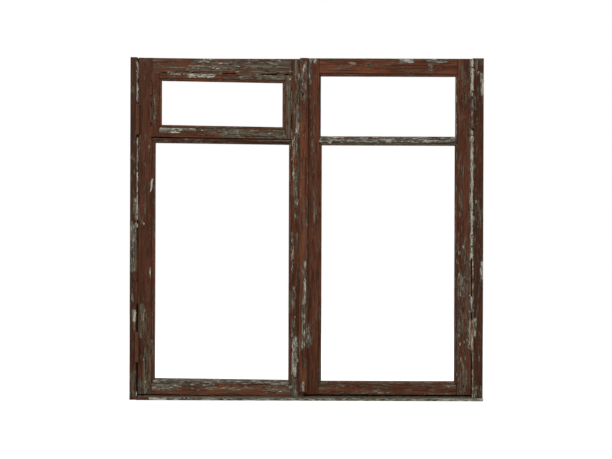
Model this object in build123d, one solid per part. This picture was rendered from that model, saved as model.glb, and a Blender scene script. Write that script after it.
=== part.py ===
from build123d import *
import os
from dataclasses import dataclass

# A two-leaf wooden window seen from outdoors: a box frame, a left leaf with a small vent sash at
# its top, a right leaf with one glazing bar, a cover strip over their meeting and six hinges.
# Millimetres. The origin is the middle of the sill's underside. +X is to the right as seen from
# outdoors, +Z is up, and the outdoor side faces -Y.

# Frame
frame_width = 1220
frame_height = 1183
frame_depth = 94
jamb_face_left = 24       # the left jamb shows less of its face than the right one
jamb_face_right = 38
jamb_arris = 2
lap = 13                  # how far the frame reaches behind a leaf's edge
head_height = 45
sill_nose = 12            # how far the sill stands out of the frame's face
sill_front = 9            # height of the sill's front face
sill_rise = 4.5           # rise of its weathered slope, up to the leaves' backs
sill_upstand = 34
sill_arris = 1
frame_tenon = 22
frame_shoulder = 8        # wood left above and below a tenon of the frame
frame_moulding = 7        # chamfer around the frame, indoors

# Leaves
leaf_thickness = 44
leaf_clearance = 2        # between a leaf's back and the rebate behind it, and over its top
gap_left = 5              # between a jamb and a leaf's edge
gap_right = 4
sill_gap_left = 7         # from the top of the sill's slope up to the left leaf's hinged corner
sill_gap_right = 8
leaf_drop = 6             # sag of the left leaf's rails, over the whole leaf
seam_shift = -7           # where the leaves meet, from the middle of the frame
seam_gap = 3
meeting_lap = 10          # the leaves overlap each other by this much, half and half
glass_depth = 18          # from a leaf's face to the stop that the pane rested on
leaf_tenon = 13.5
tenon_shoulder = 6        # wood left beside a tenon that isn't at the end of a stile
moulding = 6              # chamfer around each opening, indoors
groove_setback = 9        # of the drip groove under a bottom rail, from the leaf's face
groove_width = 4
groove_stop = 12

# Faces of the left leaf's members, up to the glazing rebate, and the stops behind its pane
left_hinge_face = 47
left_hinge_stop = 10
left_meeting_face = 44.5
left_meeting_stop = 9
left_top_face = 49
transom_face = 6.5
left_bottom_face = 38.5
left_bottom_stop = 15

# The same for the right leaf
right_hinge_face = 49
right_hinge_stop = 5
right_meeting_face = 47.5
right_meeting_stop = 6
right_top_face = 52
right_top_stop = 8.5
upper_pane_height = 226   # of its rebate, above the glazing bar
bar_face = 12
right_bottom_face = 35.5
right_bottom_stop = 9
rail_stop = 9.5           # above and below the panes of both leaves, where nothing else is given

# Vent sash, at the top of the left leaf
vent_rebate_height = 227.5
vent_thickness = 30
vent_gap = 2              # at its sides and behind it
vent_gap_top = 2.5
vent_gap_bottom = 4
vent_drop = 7.7           # sag of its rails, over the whole sash
vent_cover_left = 3       # how far the sash covers the stiles beyond the glazing rebate
vent_cover_right = -0.5
vent_left_face = 26
vent_right_face = 22.5
vent_top_face = 17.5
vent_bottom_face = 32.5
vent_stop = 9
vent_glass_depth = 14
vent_tenon = 9
weathering = (3, 1.5)     # depth and drop of the bevel on the transom's front edge

# Glazing beads
bead_setback = 1          # from the face of the wood to the bead's outer edge
bead_bevel = 5            # further back at its inner edge
pane_slot = 5             # empty now: the pane stood here, between bead and stop
wide_bead = 10            # the two upright beads of the right leaf's lower pane
narrow_bead = 8.5

# Cover strip over the seam
strip_width = 30
strip_thickness = 14
strip_shift = -3.5        # middle of the strip, from the seam
strip_foot = 8.5          # from the left leaf's bottom up to the strip
strip_bevel = 5

# Hinges: length, reach into the gap, plate, spread over both plates, barrel radius
hinge_length = 105
hinge_reach = 28
hinge_plate = 2.5
hinge_spread = 7
hinge_barrel = 6.5
vent_hinge_length = 45
vent_hinge_reach = 18
vent_hinge_plate = 1.5
vent_hinge_spread = 3.4
vent_hinge_barrel = 4.5
barrel_overlap = 0.4      # how far a barrel nests into its gap
left_hinges = (183, 215)  # middle of the lower one from the sill's underside, of the upper from the top
right_hinges = (227, 191)
vent_hinges = (71.5, 54.5)    # from the bottom and the top of the sash

margin = 20               # spare length of a cutting blank

y_front = -frame_depth / 2
y_back = frame_depth / 2
y_stop = y_front + leaf_thickness + leaf_clearance
x_left = -frame_width / 2
x_right = frame_width / 2
leaf_top = frame_height - leaf_clearance
ledge_top = sill_front + sill_rise
vent_rebate_top = leaf_top - left_top_face
vent_rebate_bottom = vent_rebate_top - vent_rebate_height


@dataclass
class Leaf:
    """A framed leaf or sash. Heights hold at its left edge; fall is their drop to the right."""
    left: float
    right: float
    bottom: float
    top: float
    left_wall: float      # the glazing rebate's side, on the face
    left_lip: float       # the stop's edge, behind the pane
    right_wall: float
    right_lip: float
    thickness: float
    glass: float          # depth of the glazing rebate
    tenon: float
    fall: float = 0.0

    @property
    def y_glass(self):
        return y_front + self.glass

    @property
    def y_back(self):
        return y_front + self.thickness

    @property
    def tenon_span(self):
        """Front and back of the tenons, in the wood behind the pane."""
        middle = (self.y_glass + self.y_back) / 2
        return middle - self.tenon / 2, middle + self.tenon / 2


def make_leaf(left, right, bottom, top, faces, stops, thickness, glass, tenon, drop=0.0):
    """A leaf from its outline and the faces and stops of its left and right stiles."""
    left_wall, right_wall = left + faces[0], right - faces[1]
    return Leaf(left, right, bottom, top, left_wall, left_wall + stops[0], right_wall,
                right_wall - stops[1], thickness, glass, tenon, fall=drop / (right - left))


left_leaf = make_leaf(x_left + jamb_face_left + gap_left, seam_shift - seam_gap / 2,
                      ledge_top + sill_gap_left, leaf_top,
                      (left_hinge_face, left_meeting_face), (left_hinge_stop, left_meeting_stop),
                      leaf_thickness, glass_depth, leaf_tenon, leaf_drop)
right_leaf = make_leaf(seam_shift + seam_gap / 2, x_right - jamb_face_right - gap_right,
                       ledge_top + sill_gap_right, leaf_top,
                       (right_meeting_face, right_hinge_face),
                       (right_meeting_stop, right_hinge_stop),
                       leaf_thickness, glass_depth, leaf_tenon)
vent = make_leaf(left_leaf.left_wall - vent_cover_left, left_leaf.right_wall + vent_cover_right,
                 vent_rebate_bottom + vent_gap_bottom, vent_rebate_top - vent_gap_top,
                 (vent_left_face, vent_right_face), (vent_stop, vent_stop),
                 vent_thickness, vent_glass_depth, vent_tenon, vent_drop)


@dataclass
class Pane:
    """One glazed opening: the ends of its rebate and how far each bead reaches in from it."""
    leaf: Leaf
    bottom: float
    top: float
    beads: dict


bar_top = leaf_top - right_top_face - upper_pane_height
bar_bottom = bar_top - bar_face
panes = {
    "vent": Pane(vent, vent.bottom + vent_bottom_face, vent.top - vent_top_face,
                 dict(left=vent_stop, right=vent_stop, bottom=rail_stop, top=rail_stop)),
    "left_main": Pane(left_leaf, left_leaf.bottom + left_bottom_face,
                      vent_rebate_bottom - transom_face,
                      dict(left=left_hinge_stop, right=left_meeting_stop,
                           bottom=left_bottom_stop, top=rail_stop)),
    "right_upper": Pane(right_leaf, bar_top, leaf_top - right_top_face,
                        dict(left=right_meeting_stop, right=right_hinge_stop,
                             bottom=rail_stop, top=right_top_stop)),
    "right_lower": Pane(right_leaf, right_leaf.bottom + right_bottom_face, bar_bottom,
                        dict(left=wide_bead, right=narrow_bead,
                             bottom=right_bottom_stop, top=rail_stop)),
}


def rectangle(a0, a1, b0, b1):
    return [(a0, b0), (a1, b0), (a1, b1), (a0, b1)]


def across(section, x0, x1, leaf=None):
    """Run a (y, z) section from x0 to x1, along the slope of a sagging leaf if one is given."""
    fall, datum = (leaf.fall, leaf.left) if leaf else (0.0, x0)
    start = Plane(origin=(x0, 0, -fall * (x0 - datum)), x_dir=(0, 1, 0), z_dir=(1, 0, 0))
    return extrude(start * Polygon(*section, align=None), amount=x1 - x0, dir=(1, 0, -fall))


def upright(section, z0, z1):
    """Stand an (x, y) section up from z0 to z1."""
    return extrude(Pos(0, 0, z0) * Polygon(*section, align=None), amount=z1 - z0, dir=(0, 0, 1))


def through(outline, y0, y1):
    """Push an (x, z) outline from y0 back to y1."""
    start = Plane(origin=(0, y0, 0), x_dir=(1, 0, 0), z_dir=(0, -1, 0))
    return extrude(start * Polygon(*outline, align=None), amount=y1 - y0, dir=(0, 1, 0))


def member(leaf, outer, wall, lip):
    """Section of a stile or rail as (width, y): face, glazing rebate, stop and indoor chamfer."""
    inward = 1 if lip > outer else -1
    return [(outer, y_front), (wall, y_front), (wall, leaf.y_glass), (lip, leaf.y_glass),
            (lip, leaf.y_back - moulding), (lip - inward * moulding, leaf.y_back),
            (outer, leaf.y_back)]


def turned(section):
    """A stile's (x, y) section as a rail's (y, z) one."""
    return [(y, z) for z, y in section]


def cut_to_leaf(leaf, section):
    """Stand a stile's section up and cut its ends on the slope of its leaf."""
    blank = rectangle(y_front - margin, leaf.y_back + margin, leaf.bottom, leaf.top)
    return (upright(section, leaf.bottom - margin, leaf.top + margin)
            & across(blank, leaf.left - margin, leaf.right + margin, leaf))


def left_stile(leaf):
    return cut_to_leaf(leaf, member(leaf, leaf.left, leaf.left_wall, leaf.left_lip))


def right_stile(leaf):
    return cut_to_leaf(leaf, member(leaf, leaf.right, leaf.right_wall, leaf.right_lip))


def stepped(leaf, section, outer, step, back_edge):
    """A meeting stile: its outer edge is stepped, so that the two leaves overlap."""
    return cut_to_leaf(leaf, section[:-1] + [(back_edge, leaf.y_back), (back_edge, step),
                                             (outer, step)])


def tongue(leaf, x0, x1, z0, z1):
    return across(rectangle(*leaf.tenon_span, z0, z1), x0, x1, leaf)


def rail(leaf, section, stiles, tenon):
    """A rail scribed to both stiles, with its tenon run through them."""
    body = across(section, leaf.left_wall, leaf.right_wall, leaf)
    for each in stiles:
        body -= each
    return body + tenon


def framed(leaf, stiles, sections, tenons):
    """Joint a leaf: the rails shaped by their sections, and both stiles mortised for them.

    The last section is the bottom rail's, which gets a drip groove stopped short of the stiles."""
    rails = [rail(leaf, section, stiles, tenon) for section, tenon in zip(sections, tenons)]
    groove = rectangle(y_front + groove_setback, y_front + groove_setback + groove_width,
                       leaf.bottom - groove_width, leaf.bottom + groove_width)
    rails[-1] -= across(groove, leaf.left_lip + groove_stop, leaf.right_lip - groove_stop, leaf)
    for tenon in tenons:
        stiles = [one - tenon for one in stiles]
    return stiles + rails


def make_left_leaf():
    """Hinge stile, meeting stile, top rail, transom and bottom rail, all racked by the sag."""
    main = panes["left_main"]
    y_leaf, y_glass = left_leaf.y_back, left_leaf.y_glass
    y_vent = y_front + vent_thickness + vent_gap
    inner_edge = left_leaf.right - meeting_lap
    meeting = member(left_leaf, left_leaf.right, left_leaf.right_wall, left_leaf.right_lip)
    vent_rebate = across(rectangle(y_front - margin, y_vent, vent_rebate_bottom, vent_rebate_top),
                         vent.left - vent_gap, vent.right + vent_gap, left_leaf)
    stiles = [left_stile(left_leaf) - vent_rebate,
              stepped(left_leaf, meeting, left_leaf.right, y_glass, inner_edge) - vent_rebate]
    top_section = [(y_front, vent_rebate_top), (y_vent, vent_rebate_top),
                   (y_vent, vent_rebate_top - lap), (y_leaf, vent_rebate_top - lap),
                   (y_leaf, left_leaf.top), (y_front, left_leaf.top)]
    stop_edge = main.top - rail_stop
    transom_section = [(y_front, main.top), (y_front, vent_rebate_bottom - weathering[1]),
                       (y_front + weathering[0], vent_rebate_bottom),
                       (y_vent, vent_rebate_bottom), (y_vent, vent_rebate_bottom + lap),
                       (y_leaf, vent_rebate_bottom + lap), (y_leaf, stop_edge),
                       (y_glass, stop_edge), (y_glass, main.top)]
    bottom_section = turned(member(left_leaf, left_leaf.bottom, main.bottom,
                                   main.bottom + left_bottom_stop))
    spans = [(vent_rebate_top + tenon_shoulder, left_leaf.top),
             (main.top - tenon_shoulder, vent_rebate_bottom - weathering[1]),
             (left_leaf.bottom, main.bottom)]
    tenons = [tongue(left_leaf, left_leaf.left, inner_edge, *span) for span in spans]
    names = ("hinge_stile", "meeting_stile", "top_rail", "transom", "bottom_rail")
    solids = framed(left_leaf, stiles, [top_section, transom_section, bottom_section], tenons)
    return {f"left_leaf_{name}": solid for name, solid in zip(names, solids)}


def make_right_leaf():
    """Meeting stile, hinge stile, top rail, glazing bar and bottom rail."""
    upper, lower = panes["right_upper"], panes["right_lower"]
    glass, back = right_leaf.y_glass, right_leaf.y_back
    meeting = member(right_leaf, right_leaf.left, right_leaf.left_wall, right_leaf.left_lip)
    stiles = [stepped(right_leaf, meeting, right_leaf.left, glass + leaf_clearance,
                      right_leaf.left - meeting_lap),
              right_stile(right_leaf)]
    low, high = lower.top - rail_stop, upper.bottom + rail_stop
    bar_section = [(y_front, lower.top), (y_front, upper.bottom), (glass, upper.bottom),
                   (glass, high), (back - moulding, high), (back, high - moulding),
                   (back, low + moulding), (back - moulding, low), (glass, low),
                   (glass, lower.top)]
    sections = [turned(member(right_leaf, right_leaf.top, upper.top, upper.top - right_top_stop)),
                bar_section,
                turned(member(right_leaf, right_leaf.bottom, lower.bottom,
                              lower.bottom + right_bottom_stop))]
    spans = [(upper.top + tenon_shoulder, right_leaf.top),
             (low + tenon_shoulder, high - tenon_shoulder), (right_leaf.bottom, lower.bottom)]
    tenons = [tongue(right_leaf, right_leaf.left, right_leaf.right, *span) for span in spans]
    names = ("meeting_stile", "hinge_stile", "top_rail", "glazing_bar", "bottom_rail")
    solids = framed(right_leaf, stiles, sections, tenons)
    return {f"right_leaf_{name}": solid for name, solid in zip(names, solids)}


def make_vent():
    """The small sash: two stiles and two rails, sagging more than the leaf that carries it."""
    pane = panes["vent"]
    sections = [turned(member(vent, vent.top, pane.top, pane.top - rail_stop)),
                turned(member(vent, vent.bottom, pane.bottom, pane.bottom + rail_stop))]
    spans = [(pane.top, vent.top), (vent.bottom, pane.bottom - tenon_shoulder)]
    tenons = [tongue(vent, vent.left, vent.right, *span) for span in spans]
    names = ("left_stile", "right_stile", "top_rail", "bottom_rail")
    solids = framed(vent, [left_stile(vent), right_stile(vent)], sections, tenons)
    return {f"vent_{name}": solid for name, solid in zip(names, solids)}


def make_bead(pane, side):
    """One glazing bead with a bevelled front, mitred into its two neighbours."""
    leaf = pane.leaf
    wall = dict(left=leaf.left_wall, right=leaf.right_wall, bottom=pane.bottom, top=pane.top)
    inward = dict(left=1, right=-1, bottom=1, top=-1)
    inner = {key: edge + inward[key] * pane.beads[key] for key, edge in wall.items()}
    y_outer, y_inner = y_front + bead_setback, y_front + bead_setback + bead_bevel
    y_flat = leaf.y_glass - pane_slot
    section = [(wall[side], y_outer), (inner[side], y_inner), (inner[side], y_flat),
               (wall[side], y_flat)]
    if side in ("left", "right"):
        run = upright(section, pane.bottom - margin, pane.top + margin)
        corners = [(edge[side], edge[end]) for edge, end in
                   ((wall, "bottom"), (wall, "top"), (inner, "top"), (inner, "bottom"))]
    else:
        run = across(turned(section), leaf.left_wall - margin, leaf.right_wall + margin, leaf)
        corners = [(edge[end], edge[side]) for edge, end in
                   ((wall, "left"), (wall, "right"), (inner, "right"), (inner, "left"))]
    outline = [(x, z - leaf.fall * (x - leaf.left)) for x, z in corners]
    return run & through(outline, y_front - margin, y_flat + margin)


def make_sill():
    """Weathered ledge with a drip groove below its nose, and an upstand behind the leaves."""
    y_nose = y_front - sill_nose
    groove_depth = 0.75 * groove_width
    section = [(y_nose, 0), (y_nose + groove_width, 0), (y_nose + groove_width, groove_depth),
               (y_nose + 2 * groove_width, groove_depth), (y_nose + 2 * groove_width, 0),
               (y_back, 0), (y_back, sill_upstand - frame_moulding),
               (y_back - frame_moulding, sill_upstand), (y_stop, sill_upstand),
               (y_stop, ledge_top), (y_nose + sill_arris, sill_front),
               (y_nose, sill_front - sill_arris)]
    x0 = x_left + jamb_face_left
    tenon = rectangle(*frame_tenon_span(), frame_shoulder, sill_upstand - frame_shoulder)
    return across(section, x0, x_right) + across(tenon, x0 - frame_tenon, x0 + frame_width / 2)


def frame_tenon_span():
    """Front and back of the frame's own tenons: the middle third of the wood behind the rebate."""
    third = (y_back - y_stop) / 3
    return y_stop + third, y_back - third


def make_jamb(outer, face, gap):
    """A jamb with its rebate for the leaf and a chamfer indoors."""
    inward = 1 if outer < 0 else -1
    edge = outer + inward * face
    stop = edge + inward * (gap + lap)
    section = [(outer, y_front + jamb_arris), (outer + inward * jamb_arris, y_front),
               (edge, y_front), (edge, y_stop), (stop, y_stop),
               (stop, y_back - frame_moulding), (stop - inward * frame_moulding, y_back),
               (outer, y_back)]
    return upright(section, 0, frame_height)


def make_frame():
    """The left jamb runs down beside the sill, and the right one stands on it."""
    sill = make_sill()
    left = make_jamb(x_left, jamb_face_left, gap_left) - sill
    right = make_jamb(x_right, jamb_face_right, gap_right) - sill
    low = frame_height - head_height
    head_section = [(y_stop, low), (y_back - frame_moulding, low),
                    (y_back, low + frame_moulding), (y_back, frame_height),
                    (y_stop, frame_height)]
    x0 = x_left + jamb_face_left + gap_left + lap
    x1 = x_right - jamb_face_right - gap_right - lap
    tenon = across(rectangle(*frame_tenon_span(), low + frame_shoulder,
                             frame_height - frame_shoulder), x0 - frame_tenon, x1 + frame_tenon)
    return {"frame_sill": sill, "frame_left_jamb": left - tenon,
            "frame_right_jamb": right - tenon, "frame_head": across(head_section, x0, x1) + tenon}


def make_cover_strip():
    """The bevelled strip nailed over the seam between the leaves."""
    x0 = seam_shift + strip_shift - strip_width / 2
    x1, y0 = x0 + strip_width, y_front - strip_thickness
    section = [(x0, y_front), (x0, y0 + strip_bevel), (x0 + strip_bevel, y0),
               (x1 - strip_bevel, y0), (x1, y0 + strip_bevel), (x1, y_front)]
    return upright(section, left_leaf.bottom + strip_foot, leaf_top)


def make_hinge(x, z, length, reach, plate, spread, barrel):
    """A shut butt hinge: two plates in the gap and a three-knuckle barrel in front of it."""
    y_pin = y_front - barrel + barrel_overlap
    half, notch = length / 2, barrel / 8
    profile = [(0, -half), (barrel - notch, -half), (barrel, notch - half)]
    for joint in (-length / 6, length / 6):
        profile += [(barrel, joint - notch), (barrel - notch, joint), (barrel, joint + notch)]
    profile += [(barrel, half - notch), (barrel - notch, half), (0, half)]
    body = Pos(x, y_pin, z) * revolve(Plane.XZ * Polygon(*profile, align=None), Axis.Z)
    for outward in (-1, 1):
        face = x + outward * spread / 2
        inner = face - outward * plate
        section = rectangle(min(face, inner), max(face, inner), y_pin, y_front + reach)
        body += upright(section, z - half, z + half)
    return body


def make_hinges():
    size = (hinge_length, hinge_reach, hinge_plate, hinge_spread, hinge_barrel)
    vent_size = (vent_hinge_length, vent_hinge_reach, vent_hinge_plate, vent_hinge_spread,
                 vent_hinge_barrel)
    places = [("left", left_leaf.left - gap_left / 2, 0, frame_height, left_hinges, size),
              ("right", right_leaf.right + gap_right / 2, 0, frame_height, right_hinges, size),
              ("vent", vent.left - vent_gap / 2, vent.bottom, vent.top, vent_hinges, vent_size)]
    hinges = {}
    for side, x, bottom, top, (lower, upper), dims in places:
        hinges[f"hinge_{side}_lower"] = make_hinge(x, bottom + lower, *dims)
        hinges[f"hinge_{side}_upper"] = make_hinge(x, top - upper, *dims)
    return hinges


def let_in(pieces, hinges):
    """House every hinge's plates in the two pieces of wood beside it."""
    beside = {"left": ("frame_left_jamb", "left_leaf_hinge_stile"),
              "right": ("frame_right_jamb", "right_leaf_hinge_stile"),
              "vent": ("left_leaf_hinge_stile", "vent_left_stile")}
    for name, hinge in hinges.items():
        for wood in beside[name.split("_")[1]]:
            pieces[wood] -= hinge


pieces = {**make_frame(), **make_left_leaf(), **make_right_leaf(), **make_vent()}
pieces["cover_strip"] = make_cover_strip()
for pane_name, pane in panes.items():
    for side in ("left", "right", "bottom", "top"):
        pieces[f"bead_{pane_name}_{side}"] = make_bead(pane, side)
hinges = make_hinges()
let_in(pieces, hinges)
pieces.update(hinges)

os.makedirs("parts", exist_ok=True)
for name, shape in pieces.items():
    export_step(shape, f"parts/{name}.step")
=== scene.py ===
import math
import random

import bmesh
import bpy
import numpy as np
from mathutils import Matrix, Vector, noise
from mathutils.bvhtree import BVHTree


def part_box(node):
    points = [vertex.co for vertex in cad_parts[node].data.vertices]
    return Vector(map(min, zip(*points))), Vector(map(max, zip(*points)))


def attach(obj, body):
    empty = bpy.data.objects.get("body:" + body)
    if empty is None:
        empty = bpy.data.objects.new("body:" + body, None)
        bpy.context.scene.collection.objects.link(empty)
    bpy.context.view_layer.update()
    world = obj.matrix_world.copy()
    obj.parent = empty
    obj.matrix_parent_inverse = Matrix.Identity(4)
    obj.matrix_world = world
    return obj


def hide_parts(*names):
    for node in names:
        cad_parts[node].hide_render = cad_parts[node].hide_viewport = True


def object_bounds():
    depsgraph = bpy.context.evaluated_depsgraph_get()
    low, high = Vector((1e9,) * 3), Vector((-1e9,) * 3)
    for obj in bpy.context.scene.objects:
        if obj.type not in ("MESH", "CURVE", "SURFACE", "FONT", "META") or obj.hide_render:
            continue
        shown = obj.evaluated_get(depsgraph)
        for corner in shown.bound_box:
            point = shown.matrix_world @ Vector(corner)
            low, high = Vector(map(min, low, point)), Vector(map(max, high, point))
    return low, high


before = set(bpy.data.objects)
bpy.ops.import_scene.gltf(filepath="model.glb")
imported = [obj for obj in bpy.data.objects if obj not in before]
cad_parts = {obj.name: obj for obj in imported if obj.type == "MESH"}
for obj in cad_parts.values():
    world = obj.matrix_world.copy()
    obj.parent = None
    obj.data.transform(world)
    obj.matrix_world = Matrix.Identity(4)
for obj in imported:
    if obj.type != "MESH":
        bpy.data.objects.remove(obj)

cad_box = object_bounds()
random.seed(11)

# Sizes are in metres. The outdoor side of the window faces -Y.
MM = 0.001
FACE_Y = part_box("right_leaf_top_rail")[0].y       # the leaves' outdoor face

# Photograph: its size, the metres that one pixel spans on the leaves' face, and the pixel where
# the middle of the sill's underside lies
PHOTO_WIDTH = 612
PHOTO_HEIGHT = 459
METRES_PER_PIXEL = 0.00345
ORIGIN_PIXEL = (306.6, 400.5)
PHOTO_LEAN = 0.0078           # the photograph's uprights lean to the right by this slope
LENS = 105.0                  # mm, as is the sensor's width
SENSOR = 36.0
CAMERA_ROLL = math.radians(-0.2)

# Light, with each lamp's name, watts and place, and floor
SKY_COLOUR = (0.93, 0.97, 1.0, 1.0)
SKY_STRENGTH = 0.42
LAMPS = (("soft_key", 60.0, (-1.2, -2.6, 3.2)), ("soft_back", 42.0, (1.6, 3.0, 2.6)))
LAMP_SIZE = (3.0, 2.0)
LAMP_AIM = Vector((0.0, 0.0, 0.6))
FLOOR_COLOUR = (0.75, 0.75, 0.74, 1.0)
FLOOR_GLOW = 0.72             # what the camera sees on top of the floor's own light
FLOOR_REACH = 6.0

# Colours in linear light: bare wood, the old undercoat, and the dirt with painted shade at the
# joints
WOOD_DARK = (0.078, 0.056, 0.037)
WOOD_LIGHT = (0.205, 0.167, 0.118)
WOOD_SILVER = (0.335, 0.298, 0.230)
WOOD_VEIN = (0.070, 0.042, 0.024)
WOOD_BLOOM = (0.122, 0.122, 0.074)
WOOD_CHECK = (0.018, 0.013, 0.009)
UNDERCOAT_DULL = (0.262, 0.234, 0.178)
UNDERCOAT_BRIGHT = (0.650, 0.600, 0.490)
# near-black dirt and painted shade where a piece meets its neighbour
JOINT_DIRT_AND_SHADE = (0.012, 0.008, 0.006)
# Colours of the red-brown paint
PAINT_DARK = (0.086, 0.023, 0.008)
PAINT_LIGHT = (0.182, 0.053, 0.021)
PAINT_BRUSHED = (0.218, 0.071, 0.033)
PAINT_CHALKY = (0.248, 0.113, 0.061)
PAINT_GROOVE = (0.034, 0.012, 0.005)
# the paint's colour in painted shade, mixed in by each piece's painted shade amount
PAINT_IN_PAINTED_SHADE = (0.036, 0.014, 0.007)
PAINT_CRAZE = (0.030, 0.014, 0.009)
PAINT_RIM = (0.240, 0.165, 0.120)

# Hinges: how far the paint has flaked, then the colours of the scale and of the drips on it
HINGE_LOOKS = {
    "hinge_paint": (0.25, (0.150, 0.055, 0.022), (0.110, 0.060, 0.040)),
    "hinge_peeled": (0.55, (0.125, 0.100, 0.078), (0.330, 0.310, 0.270)),
    "hinge_rusted": (0.85, (0.330, 0.135, 0.048), (0.560, 0.520, 0.460)),
}
HINGE_LOOK_OF = {"hinge_right_upper": "hinge_peeled", "hinge_right_lower": "hinge_rusted"}


def place(pixel_x, pixel_y):
    """Metres on the leaves' face for a pixel of the photograph."""
    upright_x = pixel_x - (PHOTO_HEIGHT / 2 - pixel_y) * PHOTO_LEAN
    return ((upright_x - ORIGIN_PIXEL[0]) * METRES_PER_PIXEL,
            (ORIGIN_PIXEL[1] - pixel_y) * METRES_PER_PIXEL)


class Graph:
    """The node tree of a material or a world, written as plain calls."""

    def __init__(self, owner):
        owner.use_nodes = True
        self.owner = owner
        self.tree = owner.node_tree
        self.tree.nodes.clear()

    def node(self, kind, inputs=None, **settings):
        made = self.tree.nodes.new(kind)
        for key, value in settings.items():
            setattr(made, key, value)
        for key, value in (inputs or {}).items():
            if isinstance(value, bpy.types.NodeSocket):
                self.tree.links.new(value, made.inputs[key])
            else:
                made.inputs[key].default_value = value
        return made

    def attribute(self, name):
        return self.node("ShaderNodeAttribute", attribute_name=name)

    def object_place(self):
        """Coordinates in the object's own metres."""
        return self.node("ShaderNodeTexCoord").outputs["Object"]

    def stretched(self, vector, across, along, shift=0.0):
        """Coordinates scaled per metre across and along the grain."""
        return self.node("ShaderNodeMapping", {0: vector, 1: (shift, shift, shift),
                                               3: (across, across, along)}).outputs[0]

    def noise(self, vector, detail=4.0, roughness=0.55, distortion=0.0):
        made = self.node("ShaderNodeTexNoise", {"Vector": vector, "Scale": 1.0, "Detail": detail,
                                                "Roughness": roughness,
                                                "Distortion": distortion})
        return made.outputs[0]

    def cells(self, vector):
        """Distance to the borders of random cells."""
        made = self.node("ShaderNodeTexVoronoi", {"Vector": vector, "Scale": 1.0},
                         feature="DISTANCE_TO_EDGE")
        return made.outputs["Distance"]

    def math(self, operation, a, b=0.0):
        return self.node("ShaderNodeMath", {0: a, 1: b}, operation=operation).outputs[0]

    def scaled(self, value, factor):
        return self.math("MULTIPLY", value, factor)

    def inverse(self, value):
        return self.math("SUBTRACT", 1.0, value)

    def total(self, *terms, shift=0.0):
        """The sum of value times factor over the terms, plus a shift."""
        result = shift
        for value, factor in terms:
            result = self.node("ShaderNodeMath", {0: value, 1: factor, 2: result},
                               operation="MULTIPLY_ADD").outputs[0]
        return result

    def span(self, value, low, high, to_low=0.0, to_high=1.0):
        """Map low..high to to_low..to_high, smoothly and clamped."""
        made = self.node("ShaderNodeMapRange", {0: value, 1: low, 2: high, 3: to_low, 4: to_high},
                         interpolation_type="SMOOTHSTEP")
        return made.outputs[0]

    def mix(self, factor, a, b):
        made = self.node("ShaderNodeMix", {0: factor}, data_type="RGBA")
        for index, value in ((6, a), (7, b)):
            if isinstance(value, bpy.types.NodeSocket):
                self.tree.links.new(value, made.inputs[index])
            else:
                made.inputs[index].default_value = (*value, 1.0)
        return made.outputs[2]

    def bump(self, height, distance, normal=None):
        inputs = {"Height": height, "Distance": distance, "Strength": 1.0}
        if normal is not None:
            inputs["Normal"] = normal
        return self.node("ShaderNodeBump", inputs).outputs[0]

    def surface(self, colour, roughness, normal):
        shader = self.node("ShaderNodeBsdfPrincipled", {
            "Base Color": colour, "Roughness": roughness, "Normal": normal,
            "Specular IOR Level": 0.12})
        self.node("ShaderNodeOutputMaterial", {"Surface": shader.outputs[0]})
        return self.owner


def material_graph(name):
    return Graph(bpy.data.materials.new(name))


def paint_loss(g, grain, gone):
    """A level that passes 0.5 where the paint is gone: long islands, streaks along the grain and
    a crumbling outline."""
    island = g.noise(g.stretched(grain, 80, 10), detail=3)
    streak = g.noise(g.stretched(grain, 250, 30, 3.0), detail=4, roughness=0.65)
    crumb = g.noise(g.stretched(grain, 620, 120, 5.0), detail=3, roughness=0.7)
    return g.total((gone, 1.0), (island, 1.4), (streak, 2.2), (crumb, 0.8), shift=-2.2)


def bare_wood(g, grain):
    """Silvered fibres, brown veins, a green bloom and black checks: the colour and the relief."""
    fibre = g.noise(g.stretched(grain, 640, 13, 7.0), detail=5, roughness=0.65)
    vein = g.noise(g.stretched(grain, 170, 5, 1.0), detail=4, roughness=0.6, distortion=0.5)
    bloom = g.noise(g.stretched(grain, 45, 7, 21.0), detail=4)
    split = g.noise(g.stretched(grain, 330, 6, 12.0), detail=3)
    check = g.span(split, 0.60, 0.65)
    silver = g.noise(g.stretched(grain, 270, 24, 40.0), detail=4, roughness=0.7)
    wood = g.mix(g.span(fibre, 0.36, 0.66), WOOD_DARK, WOOD_LIGHT)
    wood = g.mix(g.scaled(g.span(silver, 0.52, 0.62), 0.80), wood, WOOD_SILVER)
    wood = g.mix(g.scaled(g.span(vein, 0.46, 0.60), 0.78), wood, WOOD_VEIN)
    wood = g.mix(g.scaled(g.span(bloom, 0.46, 0.62), 0.50), wood, WOOD_BLOOM)
    wood = g.mix(g.scaled(check, 0.9), wood, WOOD_CHECK)
    return wood, g.total((fibre, 1.0), (check, -1.5))


def old_paint(g, grain, painted_shade):
    """Clouded, streaked along the brush, chalky where the sun has faded it, and darkened by
    painted
    shade: the colour and the relief."""
    cloud = g.noise(g.stretched(grain, 26, 4, 4.0), detail=4, roughness=0.6)
    brush = g.noise(g.stretched(grain, 520, 9, 9.0), detail=3)
    groove = g.noise(g.stretched(grain, 230, 11, 17.0), detail=4, roughness=0.6)
    chalk = g.noise(g.stretched(grain, 220, 26, 15.0), detail=5, roughness=0.7)
    paint = g.mix(g.span(cloud, 0.36, 0.64), PAINT_DARK, PAINT_LIGHT)
    paint = g.mix(g.scaled(g.span(brush, 0.40, 0.72), 0.45), paint, PAINT_BRUSHED)
    paint = g.mix(g.scaled(g.span(chalk, 0.54, 0.66), 0.55), paint, PAINT_CHALKY)
    paint = g.mix(g.scaled(g.span(groove, 0.49, 0.60), 0.85), paint, PAINT_GROOVE)
    # Painted shade: the piece's paint darkened evenly by its painted shade amount
    paint = g.mix(painted_shade, paint, PAINT_IN_PAINTED_SHADE)
    return paint, g.total((brush, 1.0), (chalk, 1.2), (groove, -1.0))


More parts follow.
